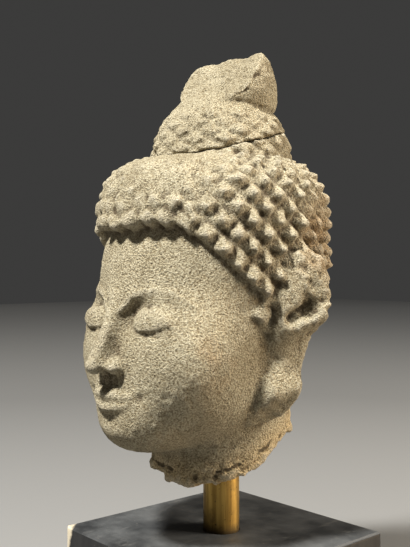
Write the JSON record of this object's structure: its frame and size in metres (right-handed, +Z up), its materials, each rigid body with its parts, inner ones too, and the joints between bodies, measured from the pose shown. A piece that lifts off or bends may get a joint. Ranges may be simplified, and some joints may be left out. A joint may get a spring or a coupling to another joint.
{
  "type": "buddha head sculpture",
  "caption": "Weathered sandstone Buddha head with rows of pointed curls and a re-set broken topknot, shown on a brass rod in a black wooden block.",
  "frame": {"origin": "centre of the block's underside, where the sculpture stands", "axes": "+Z up along the rod's axis, the face looks along -Y, the head's own left is +X"},
  "size_m": [0.1061, 0.1213, 0.2595],
  "materials": {
    "sandstone": "weathered matte",
    "brass": "aged",
    "black_wood": "worn black paint"
  },
  "bodies": {
    "root": {"stone_head": "sandstone", "topknot": "sandstone", "brass_rod": "brass", "base_block": "black_wood"}
  },
  "joints": []
}
